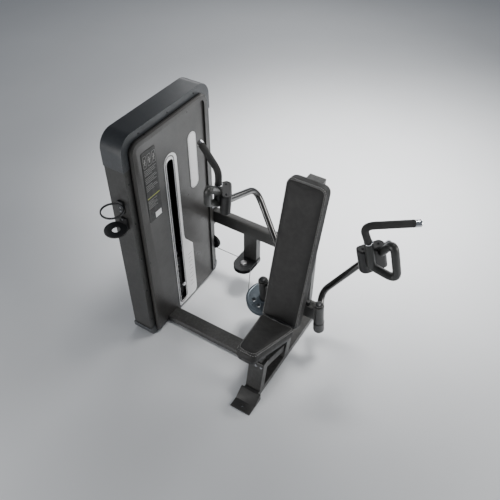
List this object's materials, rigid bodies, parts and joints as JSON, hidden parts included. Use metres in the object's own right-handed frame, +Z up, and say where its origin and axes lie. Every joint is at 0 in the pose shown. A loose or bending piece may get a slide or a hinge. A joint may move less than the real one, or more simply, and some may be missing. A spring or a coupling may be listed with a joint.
{
  "type": "seated chest fly machine",
  "caption": "Seated weight-stack machine: tall covered tower, sloping seat with long back pad, and two swinging arms with upper grips and D handles, driven by a cable and cam.",
  "frame": {"origin": "centre of the bounding box on the floor", "axes": "+Z up, the user sits facing -Y, the weight tower stands on the -X side"},
  "size_m": [1.559, 0.965, 1.506],
  "materials": {
    "frame_paint": "satin powder coat, charcoal",
    "cap_plastic": "satin blue-grey plastic",
    "cover_plastic": "satin warm grey plastic",
    "silver_trim": "satin silver-white",
    "card": "matt print",
    "weight_iron": "black coated iron",
    "chrome": "polished chrome",
    "bright_steel": "bare steel",
    "cam_metal": "grey-blue coated plate",
    "black_nylon": "black nylon",
    "gloss_black": "gloss black paint",
    "black_steel": "satin black",
    "grip_rubber": "matt rubber",
    "pad_vinyl": "fine-grained synthetic leather"
  },
  "bodies": {
    "machine": {"back_board": "black_steel", "back_pad": "pad_vinyl", "back_upright": "frame_paint", "base_beam": "frame_paint", "bottle_ring": "black_steel", "bottle_tray": "black_steel", "exit_pulley_bracket": "black_steel", "floor_beam": "frame_paint", "front_cover": "cover_plastic", "front_foot": "frame_paint", "front_post": "frame_paint", "guide_bracket": "black_steel", "guide_rod_front": "chrome", "guide_rod_rear": "chrome", "instruction_card": "card", "name_plate": "silver_trim", "pivot_bracket_left": "frame_paint", "pivot_bracket_right": "frame_paint", "rear_foot": "grip_rubber", "rear_panel": "cover_plastic", "rear_post": "frame_paint", "seat_board": "black_steel", "seat_pad": "pad_vinyl", "seat_stem": "frame_paint", "slot_trim": "silver_trim", "stack_bed": "frame_paint", "stack_head": "bright_steel", "steel_cable": "bright_steel", "top_cap": "cap_plastic", "tower_band": "frame_paint", "tower_shoe": "cap_plastic", "upper_beam": "frame_paint", "weight_plate_06": "weight_iron", "weight_plate_07": "weight_iron"},
    "arm_left": {"pivot_shaft_left": "frame_paint", "cam_wheel": "cam_metal", "arm_tube_left": "gloss_black", "handle_hub_left": "black_nylon", "handle_frame_left": "frame_paint", "grip_bar_left": "chrome", "grip_sleeve_left": "grip_rubber"},
    "arm_right": {"pivot_shaft_right": "frame_paint", "arm_tube_right": "gloss_black", "handle_hub_right": "black_nylon", "handle_frame_right": "frame_paint", "grip_bar_right": "chrome", "grip_sleeve_right": "grip_rubber"},
    "stack": {"selector_stem": "bright_steel", "weight_plate_01": "weight_iron", "weight_plate_02": "weight_iron", "weight_plate_03": "weight_iron", "weight_plate_04": "weight_iron", "weight_plate_05": "weight_iron"},
    "selector": {"selector_pin": "chrome"},
    "pin_left": {"start_pin_left": "black_nylon"},
    "pin_right": {"start_pin_right": "black_nylon"},
    "pulley_exit": {"exit_pulley": "black_nylon"},
    "pulley_guide": {"guide_pulley": "black_nylon"},
    "pulley_top_front": {"top_pulley_front": "black_nylon"},
    "pulley_top_rear": {"top_pulley_rear": "black_nylon"}
  },
  "joints": [
    {"name": "stack_lift", "type": "slide", "parent": "machine", "child": "stack", "axis": [0, 0, 1], "range_m": [0, 0.155]},
    {"name": "arm_left_swing", "type": "hinge", "parent": "machine", "child": "arm_left", "pos_m": [-0.04249, 0.0825, 0.505], "axis": [0, -0.1736, 0.9848], "range_deg": [0, 80]},
    {"name": "arm_right_swing", "type": "hinge", "parent": "machine", "child": "arm_right", "pos_m": [0.33351, 0.0825, 0.505], "axis": [0, -0.1736, 0.9848], "range_deg": [-80, 0]},
    {"name": "selector_pull", "type": "slide", "parent": "stack", "child": "selector", "axis": [1, 0, 0], "range_m": [0, 0.065]},
    {"name": "start_pin_left_pull", "type": "slide", "parent": "machine", "child": "pin_left", "axis": [0, -0.1736, 0.9848], "range_m": [0, 0.012], "stiffness_N_per_m": 1500},
    {"name": "start_pin_right_pull", "type": "slide", "parent": "machine", "child": "pin_right", "axis": [0, -0.1736, 0.9848], "range_m": [0, 0.012], "stiffness_N_per_m": 1500},
    {"name": "exit_pulley_spin", "type": "hinge", "parent": "machine", "child": "pulley_exit", "pos_m": [-0.63649, 0.4065, 0.283], "axis": [0, 1, 0], "range_deg": [-190, 0]},
    {"name": "guide_pulley_spin", "type": "hinge", "parent": "machine", "child": "pulley_guide", "pos_m": [-0.35649, 0.3575, 0.234], "axis": [0, 0, 1], "range_deg": [-190, 0]},
    {"name": "top_front_spin", "type": "hinge", "parent": "machine", "child": "pulley_top_front", "pos_m": [-0.68549, 0.0635, 1.434], "axis": [1, 0, 0], "range_deg": [-190, 0]},
    {"name": "top_rear_spin", "type": "hinge", "parent": "machine", "child": "pulley_top_rear", "pos_m": [-0.68549, 0.3575, 1.434], "axis": [1, 0, 0], "range_deg": [-190, 0]}
  ],
  "couplings": [
    {"joint": "arm_left_swing", "follows": "stack_lift", "rad_per_m": 8.9286},
    {"joint": "arm_right_swing", "follows": "stack_lift", "rad_per_m": -8.9286},
    {"joint": "exit_pulley_spin", "follows": "stack_lift", "rad_per_m": -20.408},
    {"joint": "guide_pulley_spin", "follows": "stack_lift", "rad_per_m": -20.408},
    {"joint": "top_front_spin", "follows": "stack_lift", "rad_per_m": -20.408},
    {"joint": "top_rear_spin", "follows": "stack_lift", "rad_per_m": -20.408}
  ]
}
